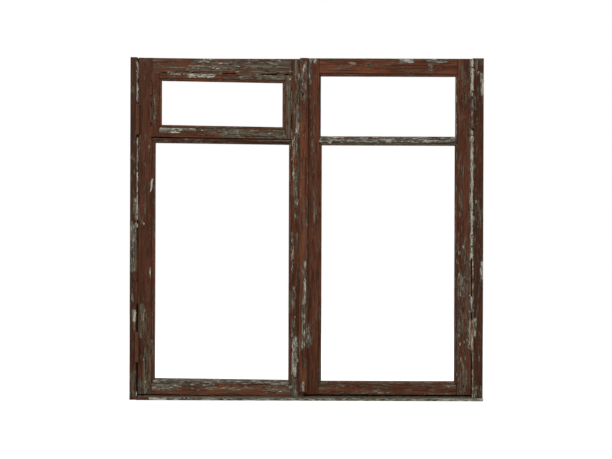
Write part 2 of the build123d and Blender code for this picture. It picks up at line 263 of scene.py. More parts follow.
def weathered_wood():
    """Red-brown oxide paint over grey wood; it peels where the wear attribute says. Near joints it
    darkens with dirt and painted shade, and each piece darkens by its own painted shade.
    """
    g = material_graph("weathered_wood")
    grain = g.attribute("grain").outputs["Vector"]
    wear = g.node("ShaderNodeSeparateColor", {0: g.attribute("wear").outputs["Color"]})
    gone, pale, dirt_and_shade = wear.outputs[0], wear.outputs[1], wear.outputs[2]
    painted_shade = g.attribute("painted_shade").outputs["Fac"]

    level = paint_loss(g, grain, gone)
    bare = g.span(level, 0.48, 0.52)
    layer = g.inverse(bare)
    rim = g.math("MULTIPLY", g.span(level, 0.41, 0.48), layer)
    wood, fibres = bare_wood(g, grain)
    paint, strokes = old_paint(g, grain, painted_shade)

    # Fine crazing, denser where the paint is about to go
    cell = g.cells(g.stretched(grain, 230, 48, 2.0))
    craze = g.inverse(g.span(cell, 0.0, 0.07))
    craze = g.math("MULTIPLY", craze, g.span(level, 0.22, 0.46))
    paint = g.mix(g.scaled(craze, 0.6), paint, PAINT_CRAZE)

    # Pale remains of the undercoat on the bare wood
    remain = g.noise(g.stretched(grain, 270, 38, 30.0), detail=5, roughness=0.7)
    flake = g.noise(g.stretched(grain, 700, 150, 33.0), detail=3, roughness=0.7)
    left = g.total((pale, 0.56), (remain, 2.6), (flake, 1.0), shift=-1.80)
    primer = g.math("MULTIPLY", g.span(left, 0.50, 0.60), g.math("MAXIMUM", bare, rim))
    undercoat = g.mix(g.span(left, 0.52, 0.90), UNDERCOAT_DULL, UNDERCOAT_BRIGHT)

    colour = g.mix(bare, paint, wood)
    colour = g.mix(g.scaled(rim, 0.35), colour, PAINT_RIM)
    colour = g.mix(primer, colour, undercoat)
    # Dirt and painted shade where a piece meets its neighbour
    colour = g.mix(g.scaled(g.span(dirt_and_shade, 0.45, 1.0), 0.9), colour, JOINT_DIRT_AND_SHADE)

    normal = g.bump(g.total((layer, 1.0), (primer, 0.6), (craze, -0.5)), 0.6 * MM)
    normal = g.bump(g.math("MULTIPLY", fibres, bare), 1.0 * MM, normal)
    normal = g.bump(g.math("MULTIPLY", strokes, layer), 0.35 * MM, normal)
    return g.surface(colour, g.span(bare, 0.0, 1.0, 0.58, 0.92), normal)


def painted_iron(name, gone, rust, bare):
    """A hinge under the window's paint; gone is how far it has flaked, down to rust and bare."""
    g = material_graph(name)
    spot = g.object_place()
    patch = g.noise(g.stretched(spot, 150, 60), detail=6, roughness=0.65)
    grit = g.noise(g.stretched(spot, 900, 700, 3.0), detail=4)
    drip = g.noise(g.stretched(spot, 260, 30, 8.0), detail=4)
    paint = g.mix(g.span(grit, 0.3, 0.7), (0.095, 0.034, 0.017), (0.155, 0.060, 0.033))
    scale = g.mix(g.span(grit, 0.35, 0.65), (0.055, 0.020, 0.009), rust)
    scale = g.mix(g.span(drip, 0.50, 0.60), scale, bare)
    lost = g.span(patch, 0.62 - gone * 0.3, 0.66 - gone * 0.3)
    colour = g.mix(lost, paint, scale)
    normal = g.bump(g.total((grit, 0.5), (lost, -1.0)), 0.5 * MM)
    return g.surface(colour, g.span(lost, 0.0, 1.0, 0.55, 0.88), normal)


def packed_dirt():
    g = material_graph("packed_dirt")
    spot = g.object_place()
    crumb = g.noise(g.stretched(spot, 700, 700), detail=5, roughness=0.7)
    moss = g.noise(g.stretched(spot, 60, 60, 3.0), detail=4)
    colour = g.mix(g.span(crumb, 0.36, 0.64), (0.044, 0.034, 0.023), (0.195, 0.164, 0.122))
    colour = g.mix(g.scaled(g.span(moss, 0.50, 0.60), 0.5), colour, (0.075, 0.078, 0.036))
    return g.surface(colour, 0.95, g.bump(crumb, 0.8 * MM))


def rusty_nail():
    g = material_graph("rusty_nail")
    grit = g.noise(g.stretched(g.object_place(), 1400, 1400), detail=4)
    colour = g.mix(g.span(grit, 0.35, 0.65), (0.030, 0.014, 0.008), (0.115, 0.048, 0.022))
    return g.surface(colour, g.span(grit, 0.3, 0.7, 0.7, 0.95), g.bump(grit, 0.3 * MM))


# Near-black painted shade of a hole, for the pegs' shallow hollows
def hole_painted_shade():
    g = material_graph("hole_painted_shade")
    grit = g.noise(g.stretched(g.object_place(), 900, 900), detail=4)
    colour = g.mix(g.span(grit, 0.3, 0.7), (0.006, 0.004, 0.003), (0.024, 0.016, 0.011))
    return g.surface(colour, g.span(grit, 0.3, 0.7, 0.8, 0.95), g.bump(grit, 0.4 * MM))


# How each piece has weathered, and how far painted shade darkens its paint: (paint gone, pale
# remains, painted shade). With 0.15 gone the paint is nearly whole, with 0.5 half of it is gone
# and with 0.85 the wood is bare. Pale remains near 0 are few, and from about 1 they cover most of
# the bare wood.
WEAR_AND_SHADE = {
    "frame_left_jamb": (0.16, 0.22, 0.72),
    "frame_right_jamb": (0.20, 0.30, 0.68),
    "frame_head": (0.20, 0.10, 0.30),
    "frame_sill": (0.82, 1.00, 0.0),
    "left_leaf_hinge_stile": (0.16, 0.18, 0.50),
    "left_leaf_meeting_stile": (0.25, 0.42, 0.14),
    "left_leaf_top_rail": (0.36, 0.38, 0.12),
    "left_leaf_transom": (0.30, 0.15, 0.40),
    "left_leaf_bottom_rail": (0.45, 0.72, 0.0),
    "right_leaf_meeting_stile": (0.16, 0.15, 0.26),
    "right_leaf_hinge_stile": (0.30, 0.30, 0.26),
    "right_leaf_top_rail": (0.20, 0.20, 0.0),
    "right_leaf_glazing_bar": (0.72, 0.90, 0.0),
    "right_leaf_bottom_rail": (0.34, 0.48, 0.0),
    "vent_left_stile": (0.19, 0.18, 0.22),
    "vent_right_stile": (0.28, 0.16, 0.18),
    "vent_top_rail": (0.30, 0.20, 0.10),
    "vent_bottom_rail": (0.36, 0.40, 0.15),
    "cover_strip": (0.22, 0.22, 0.0),
    "bead_left_main_bottom": (0.78, 0.80, 0.0),
    "bead_right_lower_bottom": (0.42, 0.30, 0.05),
    "bead_left_main_top": (0.30, 0.20, 0.75),
    "bead_right_upper_bottom": (0.44, 1.05, 0.0),
    "bead_right_lower_top": (0.62, 0.25, 0.45),
    "bead": (0.22, 0.15, 0.12),
}

# Where the photograph shows more or less wear than that: the patch's left, right, top and bottom
# in the photograph's pixels, then paint gone and pale remains there.
PATCHES = {
    "frame_left_jamb": [
        (137.5, 139.5, 63, 102, 1.00, 1.50), (137.1, 139, 139, 227, 0.95, 1.30),
        (131, 134, 89, 95, 0.60, 0.60), (131.3, 134, 154, 160, 0.55, 0.50),
        (134, 135.3, 169, 173, 0.50, 0.60), (134, 137.5, 200, 217, 0.80, 0.80),
        (130.7, 136, 222, 256, 0.72, 0.68), (130, 135.3, 257, 272, 0.80, 0.75),
        (131.3, 133.7, 297, 301, 0.75, 1.00), (132.2, 135.6, 312, 318.5, 0.90, 1.15),
        (134, 135.3, 327, 330, 0.60, 0.80), (128, 138, 372, 401, 0.38, 0.20)],
    "frame_right_jamb": [
        (472.2, 473.4, 58, 96, 0.85, 0.90), (472, 473.2, 130, 256, 0.85, 0.85),
        (471.5, 473.0, 258, 395, 0.75, 0.90), (471.5, 476.5, 97, 110, 0.88, 0.50),
        (473, 483, 58, 76, 0.42, 0.40), (475.5, 479.5, 198, 227, 0.50, 0.35),
        (472.6, 475.6, 320, 333, 0.90, 1.30), (481.5, 485, 74, 96, 0.98, 1.20),
        (480.6, 484, 260, 280, 0.98, 1.20), (472, 483, 386, 400, 0.60, 0.65)],
    "frame_sill": [
        (128, 150, 394, 401, 0.35, 0.10), (150, 166, 394, 401, 0.98, 1.30),
        (268, 300, 394, 401, 0.90, 1.00), (440, 484, 394, 401, 0.92, 1.20)],
    "left_leaf_hinge_stile": [
        (144, 151, 57, 67, 0.45, 0.40), (150.0, 153.8, 180, 191, 0.75, 0.80),
        (144, 146, 206, 213, 0.80, 0.70), (142, 143.4, 219, 225, 0.75, 0.70),
        (148, 150.7, 142, 149, 0.50, 0.50), (138.5, 146, 306, 336, 0.56, 0.22),
        (142, 154, 335, 400, 0.50, 0.16), (141.3, 144.2, 312, 320, 0.90, 0.85),
        (138, 154, 378, 400, 0.56, 0.12), (149.4, 150.9, 271, 275, 0.80, 1.00)],
    "left_leaf_top_rail": [
        (188, 296, 57, 72, 0.62, 0.38), (194, 218, 61, 68, 0.72, 0.75),
        (152, 190, 60, 70, 0.33, 0.28), (268, 292, 62, 71, 0.76, 0.60),
        (222, 250, 62, 67, 0.66, 0.70)],
    "left_leaf_transom": [(184, 202, 137, 143, 0.50, 0.80), (276, 293, 138, 141, 0.60, 0.55)],
    "left_leaf_bottom_rail": [
        (152, 288, 391, 396, 0.26, 0.30), (152, 178, 385, 390.5, 0.54, 0.85),
        (262, 290, 384, 394, 0.60, 0.65), (205, 238, 385, 390, 0.56, 0.85)],
    "left_leaf_meeting_stile": [
        (296, 300.8, 57, 122, 0.68, 0.50), (296, 301.5, 124, 138, 0.80, 1.00),
        (292.5, 297.5, 136, 152, 0.78, 1.00), (291.5, 295, 148, 160, 0.65, 1.05),
        (293, 297, 168, 179, 0.60, 0.80), (291.7, 299, 182, 195, 0.46, 0.75),
        (294.4, 298.6, 201, 220, 0.66, 0.85), (290.8, 293.4, 234, 269, 0.78, 0.90),
        (290.2, 295, 288, 338, 0.50, 0.65), (291.2, 296.6, 338, 378, 0.85, 1.05),
        (289.5, 296.8, 378, 396, 0.68, 0.60)],
    "cover_strip": [
        (302.4, 306.4, 61, 101, 0.52, 0.80), (307.8, 309.4, 165, 201, 0.85, 0.90),
        (302.4, 308.8, 196, 229, 0.36, 0.50), (303.4, 305.8, 262, 300, 0.78, 0.95),
        (301.2, 304.3, 298, 346, 0.80, 0.90),
        (306, 308, 326, 346, 0.75, 0.95), (301.3, 303.4, 383, 391, 0.90, 1.05)],
    "vent_left_stile": [(153.2, 156.6, 90, 121, 0.50, 0.68)],
    "vent_right_stile": [(286.2, 290.8, 72, 137, 0.64, 0.22)],
    "vent_top_rail": [
        (172, 190, 71, 75.4, 0.90, 1.15), (191, 216, 73.3, 77.8, 0.90, 1.02),
        (241, 287, 73, 80.5, 0.68, 0.55)],
    "vent_bottom_rail": [
        (158, 222, 133, 138, 0.15, 0.10), (158, 197, 127.6, 130.4, 0.92, 1.15),
        (196, 224, 128, 135, 0.52, 0.60), (222, 288, 129.2, 137.5, 0.72, 0.60),
        (171, 181, 130.6, 133.4, 0.85, 1.15)],
    "right_leaf_meeting_stile": [
        (307.5, 311.5, 60, 82, 0.72, 0.90), (311, 317.5, 57.5, 62, 0.88, 1.00),
        (306.8, 308.6, 323, 335, 0.80, 1.00), (307, 310.4, 335, 342, 0.85, 1.15),
        (306.8, 308.2, 342, 348, 0.80, 1.00), (313.8, 315, 190, 221, 0.62, 0.45)],
    "right_leaf_hinge_stile": [
        (456, 469, 250, 396, 0.44, 0.45), (458, 465, 275, 294, 0.66, 0.75),
        (470.8, 472.5, 58, 96, 0.85, 0.90), (470.2, 472, 130, 256, 0.88, 0.90),
        (470.2, 471.8, 258, 318, 0.70, 0.80), (468.8, 472, 321, 347, 1.00, 1.80)],
    "right_leaf_top_rail": [
        (353, 358.5, 62, 64.6, 0.85, 0.90), (367, 372.5, 63, 67, 0.75, 0.80),
        (400, 415.5, 58, 62.3, 0.92, 1.05), (428, 444.5, 58, 62.3, 0.92, 1.05),
        (430, 432.4, 62, 70, 0.65, 0.70), (338, 352, 65, 69, 0.42, 0.45)],
    "right_leaf_bottom_rail": [
        (328, 362, 382, 388, 0.42, 0.60), (361, 381, 392.2, 393.2, 0.95, 0.85),
        (352, 390, 390.5, 394.6, 0.40, 0.70),
        (318, 332, 381, 385, 0.62, 0.60), (444, 458, 381, 385, 0.62, 0.60)],
    "bead_right_upper_right": [(450, 462, 75, 137, 0.46, 0.90)],
}

# Worn copies of the wooden nodes
WELD = 0.01 * MM             # points of the CAD mesh nearer than this are one
FLAT_ANGLE = math.radians(0.5)
SHARP_ANGLE = math.radians(20)
ARRIS = 1.3 * MM             # rounding of every edge
CELL_ALONG = 7.0 * MM        # mesh of the worn faces, along the grain
CELL_ACROSS = 3.5 * MM       # and across it
CELL_DEEP = 7.0 * MM         # and from outdoors to indoors
FACE_LOSS = 0.25 * MM        # how deep the weather has eaten the faces
ARRIS_LOSS = 3.0 * MM        # and the edges, where they have broken away
SLOW_WAVES = 30              # the two noises that shape the wear, in waves for each metre
QUICK_WAVES = 110
CHIP_START = 0.15            # an edge has broken away where the noises come above this
EDGE_BARE = 0.5              # how much more paint is gone on an edge
CHIP_BARE = 4.0              # and where it has broken away
INDOOR_GONE = 0.14           # the side away from the weather keeps its paint
INDOOR_FROM = 20 * MM        # that side's wear begins this far behind the leaves' face
INDOOR_OVER = 20 * MM        # and is in full this much farther in
SOFT_ALONG = 9.0 * MM        # how far a patch fades out along the grain
SOFT_ACROSS = 2.0 * MM       # and across it
PATCH_SPAN = (5.0 * MM, 12.5 * MM)    # and it fades out this far behind the leaves' face
RAGGED_SLOW = 16 * MM        # how far the noises push its outline along the grain
RAGGED_QUICK = 9 * MM
RAGGED_ACROSS = 3 * MM       # and across it
JOINT_REACH = 3.0 * MM       # dirt and painted shade reach this near to a neighbouring piece

# Flakes of paint
FLAKES = 520
FLAKE_RUN, FLAKE_WIDE = 5, 3          # cells of one flake along and across the grain
FLAKE_LENGTH = (5, 17)                # mm
FLAKE_WIDTH = (2.0, 4.5)              # mm
FLAKE_CURL = (0.4, 1.8)               # how far its free edge stands off, in mm
FLAKE_THICK = 0.30 * MM
FLAKE_OFF = 0.12 * MM                 # how far its held edge stands off
FLAKE_ROOM = 5.0 * MM                 # no flake starts nearer than this to a piece's edge
FLAKE_PAINTED_SHADE = 0.1                      # how far painted shade darkens its paint
RED_SHARE = 0.7                       # of the flakes, the others show undercoat
LIFTING = (0.38, 0.90)                # paint lifts where this much of it is gone
RED_CHIP, PALE_CHIP, UNDERSIDE = (0.2, 0.3), (1.0, 1.2), (1.0, 0.9)   # paint gone, pale remains

# Skins of old paint over the gaps
SKIN_LENGTH = (15, 90)                # mm
SKIN_STEP = 3.5 * MM                  # between two rows of points
SKIN_WAVES = 45                       # of its width, for each metre
SKIN_EDGE = 0.25 * MM                 # how far its edges stand off the leaves' face
LEFT_GAP = (                          # top and bottom pixel, share covered, paint gone and pale
    (62, 103, 0.93, (1.0, 1.4)), (138, 228, 0.97, (1.0, 1.3)), (230, 305, 1.00, (0.1, 0.1)))
RIGHT_GAP = (
    (58, 96, 0.97, (1.0, 1.5)), (129, 258, 0.98, (1.0, 1.5)), (296, 312, 0.70, (1.0, 1.3)))
SIDE_GAPS = (                         # the hinge over the gap, the skin's width, its way aside
    ("hinge_left_upper", LEFT_GAP, 4.5 * MM, -0.8 * MM),
    ("hinge_right_upper", RIGHT_GAP, 8.5 * MM, 0.0))
VENT_GAPS = (                         # left, top and right: share covered, paint gone and pale
    (0.75, (0.3, 0.3)), (0.70, (0.55, 0.5)), (0.70, (0.65, 0.4)))
VENT_SKIN = 5.0 * MM                  # width
VENT_FALL = 6.5 * MM                  # from the vent sash's left to its right
VENT_GAP = 1.0 * MM                   # from its edge to the middle of the gap
LONG_CURL = (                         # pixel, and half its width in mm
    (153.6, 179.2, 1.2), (152.9, 179.8, 2.2), (152.2, 181.5, 2.6), (151.9, 184.0, 2.6),
    (151.8, 187.0, 2.4), (151.4, 189.6, 2.4), (150.8, 191.6, 2.2), (150.1, 192.6, 1.0))
LONG_CURL_OFF = (0.3, 1.4, 2.0)       # its left edge, middle and right edge stand off, in mm

# Dirt on the sill
BANK_STEP = 4 * MM
BANK_PROFILE = (                      # behind the leaves' face and above the sill, in mm
    (-4, 0), (-2.5, 2.1), (-0.5, 4.3), (3, 5.2), (8, 5.4))
BANK_SINK = 0.4                       # mm, so that its edge starts in the wood
BANK_WAVES = 70                       # its lumps, for each metre
ABOVE_SILL = 16 * MM

# Nails and pegs
STRIP_NAILS = 6
STRIP_NAIL = (2.6 * MM, 0.4 * MM)     # radius and rise
STRIP_NAIL_SUNK = 0.45 * MM
STRIP_NAIL_STRAY = 2                  # mm off the strip's middle
BEAD_NAIL_STEP = 0.17
BEAD_NAIL = (1.3 * MM, 0.25 * MM)
NAIL_MARGIN = 0.04                    # from a piece's end to its first nail
NAIL_RINGS = ((1.0, -0.3), (1.0, 0.35), (0.82, 0.8), (0.45, 1.0))   # shares of radius and rise
NAIL_SIDES = 12
NAIL_RAGGED = (0.93, 1.05)            # share of the radius that each point keeps
PEGS = ((318.0, 379.5, "right_leaf_meeting_stile"), (462.8, 385.6, "right_leaf_hinge_stile"))
PEG_RADIUS = 3.2 * MM
PEG_RINGS = ((1.0, 0.3), (0.98, -0.35), (0.80, -0.45), (0.70, 0.1))  # share of radius, sunk mm
PEG_SIDES = 14
PEG_RAGGED = (0.90, 1.08)


def random_shift():
    """Moves a noise so far that two pieces don't show the same stretch of it."""
    return Vector([random.uniform(-5, 5) for _ in range(3)])


def grain_axis(low, high):
    """The axis that a piece's grain runs along: 0 for X, 2 for Z."""
    return 0 if high.x - low.x > high.z - low.z else 2


def wear_and_shade_of(node_name):
    """A piece's own wear and painted shade: by its name, or by the longest start of a name that
    fits.
    """
    fits = [key for key in WEAR_AND_SHADE if node_name.startswith(key)]
    return WEAR_AND_SHADE[max(fits, key=len)]


def wear_at(points, node_name, along, slow, quick):
    """(paint gone, pale remains) at points of a piece, from its own wear and its patches, whose
    outlines follow the two noises."""
    own_gone, own_pale, _ = wear_and_shade_of(node_name)
    behind = points[:, 1] - FACE_Y
    indoors = np.clip((behind - INDOOR_FROM) / INDOOR_OVER, 0.0, 1.0)
    gone = own_gone + (INDOOR_GONE - own_gone) * indoors
    pale = np.full(len(points), own_pale)
    soft_x, soft_z = (SOFT_ALONG, SOFT_ACROSS) if along == 0 else (SOFT_ACROSS, SOFT_ALONG)
    far, near = RAGGED_SLOW * slow + RAGGED_QUICK * quick, RAGGED_ACROSS * quick
    x = points[:, 0] + (far if along == 0 else near)
    z = points[:, 2] + (near if along == 0 else far)
    outdoors = np.interp(behind, PATCH_SPAN, (1.0, 0.0))
    for left, right, top, bottom, patch_gone, patch_pale in PATCHES.get(node_name, []):
        middle = (top + bottom) / 2
        low_x, high_x = place(left, middle)[0], place(right, middle)[0]
        low_z, high_z = place(left, bottom)[1], place(right, top)[1]
        beside = np.maximum(np.maximum(low_x - x, x - high_x), 0.0)
        beyond = np.maximum(np.maximum(low_z - z, z - high_z), 0.0)
        weight = np.clip(1.0 - beside / soft_x - beyond / soft_z, 0.0, 1.0) * outdoors
        gone += (patch_gone - gone) * weight
        pale += (patch_pale - pale) * weight
    return gone, pale


def slice_up(bm, low, high, axis, step):
    """Cut the mesh by even planes across one axis."""
    count = max(1, round((high[axis] - low[axis]) / step))
    normal, point = Vector(), Vector()
    normal[axis] = 1.0
    for index in range(1, count):
        point[axis] = low[axis] + (high[axis] - low[axis]) * index / count
        bmesh.ops.bisect_plane(bm, geom=bm.verts[:] + bm.edges[:] + bm.faces[:], dist=1e-6,
                               plane_co=point, plane_no=normal)


def worn_mesh(name, node_name, along):
    """The CAD solid's mesh with its edges rounded and enough points for the wear."""
    low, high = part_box(node_name)
    bm = bmesh.new()
    bm.from_mesh(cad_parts[node_name].data)
    bmesh.ops.remove_doubles(bm, verts=bm.verts, dist=WELD)
    bmesh.ops.dissolve_limit(bm, angle_limit=FLAT_ANGLE, verts=bm.verts, edges=bm.edges)
    sharp = [e for e in bm.edges if len(e.link_faces) == 2 and e.calc_face_angle() > SHARP_ANGLE]
    bmesh.ops.bevel(bm, geom=sharp, offset=ARRIS, segments=2, profile=0.5, affect="EDGES",
                    clamp_overlap=True)
    slice_up(bm, low, high, 1, CELL_DEEP)
    slice_up(bm, low, high, 2 - along, CELL_ACROSS)
    slice_up(bm, low, high, along, CELL_ALONG)
    bmesh.ops.triangulate(bm, faces=[f for f in bm.faces if len(f.verts) > 4])
    bm.normal_update()
    mesh = bpy.data.meshes.new(name)
    bm.to_mesh(mesh)
    bm.free()
    return mesh


def mesh_tree(node_names):
    """The CAD solids of some nodes, to cast rays at."""
    verts, faces = [], []
    for name in node_names:
        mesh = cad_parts[name].data
        first = len(verts)
        verts += [v.co.copy() for v in mesh.vertices]
        faces += [[first + index for index in face.vertices] for face in mesh.polygons]
    return BVHTree.FromPolygons(verts, faces)


def joint_dirt_and_shade_at(points, node_name):
    """Dirt and painted shade: 1 where a point of a piece touches its neighbour, down to 0 at
    JOINT_REACH from it.
    """
    low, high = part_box(node_name)
    neighbours = []
    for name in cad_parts:
        other_low, other_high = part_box(name)
        apart = any(other_low[i] > high[i] + JOINT_REACH or other_high[i] < low[i] - JOINT_REACH
                    for i in range(3))
        if name != node_name and not apart:
            neighbours.append(name)
    tree = mesh_tree(neighbours)
    dirt = np.zeros(len(points))
    for index, point in enumerate(points):
        distance = tree.find_nearest(point, JOINT_REACH)[3]
        if distance is not None:
            dirt[index] = 1.0 - distance / JOINT_REACH
    return dirt


def wood_mesh_attributes(mesh, grain, wear, painted_shade):
    """Give a mesh what the wood material reads: grain coordinates, wear with joint dirt and
    painted shade, and the piece's painted shade.
    """
    for name, kind, field, values in (("grain", "FLOAT_VECTOR", "vector", grain),
                                      ("wear", "FLOAT_COLOR", "color", wear),
                                      ("painted_shade", "FLOAT", "value", painted_shade)):
        layer = mesh.attributes.new(name, kind, "POINT")
        layer.data.foreach_set(field, np.asarray(values, np.float32).ravel())


def read_vectors(mesh, field):
    """One vector for each point of a mesh."""
    values = np.zeros(len(mesh.vertices) * 3, np.float32)
    mesh.vertices.foreach_get(field, values)
    return values.reshape(-1, 3)


def worn_piece(node_name, material):
    """Stand a weathered copy in for one wooden node. Returns the places on it where paint is
    lifting: a point and the axis of its grain."""
    low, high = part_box(node_name)
    along = grain_axis(low, high)
    mesh = worn_mesh(f"{node_name}_worn", node_name, along)
    shift = random_shift()
    points, normals = (read_vectors(mesh, field) for field in ("co", "normal"))
    count = len(points)

    # A corner of the mesh has a slanting normal, so edge is 0 on a face and more on an arris
    edge = 1.0 - np.abs(normals).max(axis=1)
    slow = np.array([noise.noise(Vector(p * SLOW_WAVES) + shift) for p in points])
    quick = np.array([noise.noise(Vector(p * QUICK_WAVES) + shift) for p in points])
    chip = np.maximum(0.0, quick + 0.4 * slow - CHIP_START)
    loss = FACE_LOSS * (0.5 + 0.5 * slow) + ARRIS_LOSS * edge * chip
    gone, pale = wear_at(points, node_name, along, slow, quick)
    gone = np.minimum(gone + EDGE_BARE * edge + CHIP_BARE * edge * chip, 1.0)
    # paint gone, pale remains, and dirt with painted shade near the joints
    wear = np.stack([gone, pale, joint_dirt_and_shade_at(points, node_name), np.ones(count)], axis=1)
    grain = points[:, (2, 1, 0) if along == 0 else (0, 1, 2)] + np.array(shift)

    mesh.vertices.foreach_set("co", (points - normals * loss[:, None]).astype(np.float32).ravel())
    # each piece's painted shade darkens its paint evenly
    wood_mesh_attributes(mesh, grain, wear, np.full(count, wear_and_shade_of(node_name)[2]))
    mesh.materials.append(material)
    piece = bpy.data.objects.new(f"{node_name}_worn", mesh)
    bpy.context.scene.collection.objects.link(piece)
    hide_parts(node_name)
    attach(piece, "root")

    inside = (points > np.array(low) + FLAKE_ROOM) & (points < np.array(high) - FLAKE_ROOM)
    front = np.flatnonzero((normals[:, 1] < -0.98) & (gone > LIFTING[0]) & (gone < LIFTING[1])
                           & inside[:, 0] & inside[:, 2])
    return [(Vector(points[i]), along) for i in front]


def dress_wood(material):
    """Returns all the places where paint is lifting."""
    lifting = []
    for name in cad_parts:
        if not name.startswith("hinge_"):
            lifting += worn_piece(name, material)
    return lifting


def dress_hinges():
    """The hinges keep their CAD shape; each side of the window has rusted in its own way."""
    looks = {name: painted_iron(name, *look) for name, look in HINGE_LOOKS.items()}
    for name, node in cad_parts.items():
        if name.startswith("hinge_"):
            node.data.materials.clear()
            node.data.materials.append(looks[HINGE_LOOK_OF.get(name, "hinge_paint")])


def add_mesh(mesh, material):
    """A small piece that rides on the window, named like its mesh."""
    mesh.shade_smooth()
    mesh.materials.append(material)
    piece = bpy.data.objects.new(mesh.name, mesh)
    bpy.context.scene.collection.objects.link(piece)
    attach(piece, "root")


class Skins:
    """Thin sheets of old paint, gathered into one mesh."""

    def __init__(self):
        self.verts, self.faces, self.grain, self.wear = [], [], [], []

    def add(self, rows, along, front, back):
        """One sheet, from rows of points on its outdoor side. front and back are the two
        sides' (paint gone, pale remains)."""
        first, wide, sheet = len(self.verts), len(rows[0]), len(rows) * len(rows[0])
        shift = random_shift()
        for depth, wear in ((0.0, front), (FLAKE_THICK, back)):
            for row in rows:
                for point in row:
                    spot = point + Vector((0, depth, 0))
                    self.verts.append(spot)
                    self.grain.append((spot.zyx if along == 0 else spot) + shift)
                    self.wear.append((*wear, 0.0, 1.0))
        for i in range(len(rows) - 1):
            for j in range(wide - 1):
                a = first + i * wide + j
                b = a + wide
                self.faces.append((a, a + 1, b + 1, b))
                self.faces.append((a + sheet, b + sheet, b + 1 + sheet, a + 1 + sheet))
        last = sheet - wide
        border = ([i * wide for i in range(len(rows) - 1)] + [last + j for j in range(wide - 1)]
                  + [i * wide + wide - 1 for i in range(len(rows) - 1, 0, -1)]
                  + list(range(wide - 1, 0, -1)))
        for a, b in zip(border, border[1:] + border[:1]):
            self.faces.append((first + a, first + b, first + b + sheet, first + a + sheet))

    def finish(self, name, material):
        mesh = bpy.data.meshes.new(name)
        verts = np.clip(np.array(self.verts), np.array(cad_box[0]), np.array(cad_box[1]))
        mesh.from_pydata(verts.tolist(), [], self.faces)
        wood_mesh_attributes(mesh, self.grain, self.wear, np.full(len(verts), FLAKE_PAINTED_SHADE))
        add_mesh(mesh, material)


def flake_rows(root, along):
    """A flake held along one edge at the root, whose other edge curls away from the wood."""
    length, width = random.uniform(*FLAKE_LENGTH) * MM, random.uniform(*FLAKE_WIDTH) * MM
    curl = random.uniform(*FLAKE_CURL) * MM
    side = random.choice((-1, 1))
    run = Vector((1, 0, 0)) if along == 0 else Vector((0, 0, 1))
    across = Vector((0, 0, side)) if along == 0 else Vector((side, 0, 0))
    rows = []
    for i in range(FLAKE_RUN + 1):
        taper = math.sin(math.pi * (i + 0.6) / (FLAKE_RUN + 1.2)) ** 0.5
        jag = random.uniform(0.75, 1.1)
        rows.append([])
        for j in range(FLAKE_WIDE + 1):
            share = j / FLAKE_WIDE
            rise = FLAKE_OFF + curl * share ** 1.6 * taper
            rows[-1].append(root + run * (length * (i / FLAKE_RUN - 0.5))
                            + across * (width * share * taper * jag)
                            + Vector((0, -rise, 0)))
    return rows


def lift_flakes(lifting, material):
    """Curled flakes where the paint is half gone. One whose tip would stand in an opening is
    left out."""
    skins = Skins()
    solids = mesh_tree(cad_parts)
    for root, along in random.sample(lifting, FLAKES):
        rows = flake_rows(root, along)
        chip = RED_CHIP if random.random() < RED_SHARE else PALE_CHIP
        backed = [solids.ray_cast(row[-1], Vector((0, 1, 0)))[0] is not None for row in rows]
        if all(backed):
            skins.add(rows, along, chip, UNDERSIDE)
    skins.finish("paint_flakes", material)


def bridge_gap(skins, start, end, width, cover, wear):
    """Skins of old paint that still close a gap between two pieces, with breaks in them."""
    along = 0 if abs(end.x - start.x) > abs(end.z - start.z) else 2
    run = (end - start).normalized()
    across = Vector((-run.z, 0, run.x))
    reach, at = (end - start).length, 0.0
    while at < reach:
        length = min(random.uniform(*SKIN_LENGTH) * MM, reach - at)
        count = max(2, round(length / SKIN_STEP))
        rows = []
        for i in range(count + 1):
            taper = 0.55 + 0.45 * min(1.0, i / 2, (count - i) / 2)
            middle = start + run * (at + length * i / count)
            spread = width * taper * (0.95 + 0.7 * noise.noise(middle * SKIN_WAVES))
            left, right = (spread * random.uniform(0.30, 0.65) for _ in range(2))
            rows.append([middle - across * left + Vector((0, -SKIN_EDGE, 0)),
                         middle + Vector((0, random.uniform(0.2, 0.9) * MM, 0)),
                         middle + across * right + Vector((0, -SKIN_EDGE, 0))])
        gone, pale = (value * random.uniform(0.8, 1.15) for value in wear)
        skins.add(rows, along, (gone, pale), (1.0, 0.5))
        at += length / cover * random.uniform(0.85, 1.15)


def bridge_side_gaps(skins):
    """Paint over the gaps beside the two leaves."""
    for hinge, gap, width, aside in SIDE_GAPS:
        seam = sum(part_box(hinge), Vector()).x / 2 + aside
        for top, bottom, cover, wear in gap:
            ends = [Vector((seam, FACE_Y, place(0, level)[1])) for level in (top, bottom)]
            bridge_gap(skins, *ends, width, cover, wear)


def bridge_vent_gaps(skins):
    """Paint over the gaps at the left, top and right of the vent sash, whose rails slope."""
    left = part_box("vent_left_stile")[0].x - VENT_GAP
    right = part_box("vent_right_stile")[1].x + VENT_GAP
    top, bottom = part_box("vent_top_rail")[1].z + VENT_GAP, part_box("vent_bottom_rail")[0].z
    corners = [Vector((x, FACE_Y, z)) for x, z in (
        (left, bottom + VENT_FALL), (left, top), (right, top - VENT_FALL), (right, bottom))]
    for (start, end), (cover, wear) in zip(zip(corners, corners[1:]), VENT_GAPS):
        bridge_gap(skins, start, end, VENT_SKIN, cover, wear)


def hang_long_curl(skins):
    """The one long curl of pale paint on the left leaf's stile."""
    left_y, middle_y, right_y = (FACE_Y - off * MM for off in LONG_CURL_OFF)
    rows = []
    for pixel_x, pixel_y, half in LONG_CURL:
        x, z = place(pixel_x, pixel_y)
        rows.append([Vector((x - half * MM, left_y, z)), Vector((x, middle_y, z)),
                     Vector((x + half * MM, right_y, z + 0.5 * MM))])
    skins.add(rows, 2, (1.0, 1.8), (1.0, 1.0))


def hang_skins(material):
    """Old paint over the gaps and in the long curl."""
    skins = Skins()
    bridge_side_gaps(skins)
    bridge_vent_gaps(skins)
    hang_long_curl(skins)
    skins.finish("paint_skins", material)


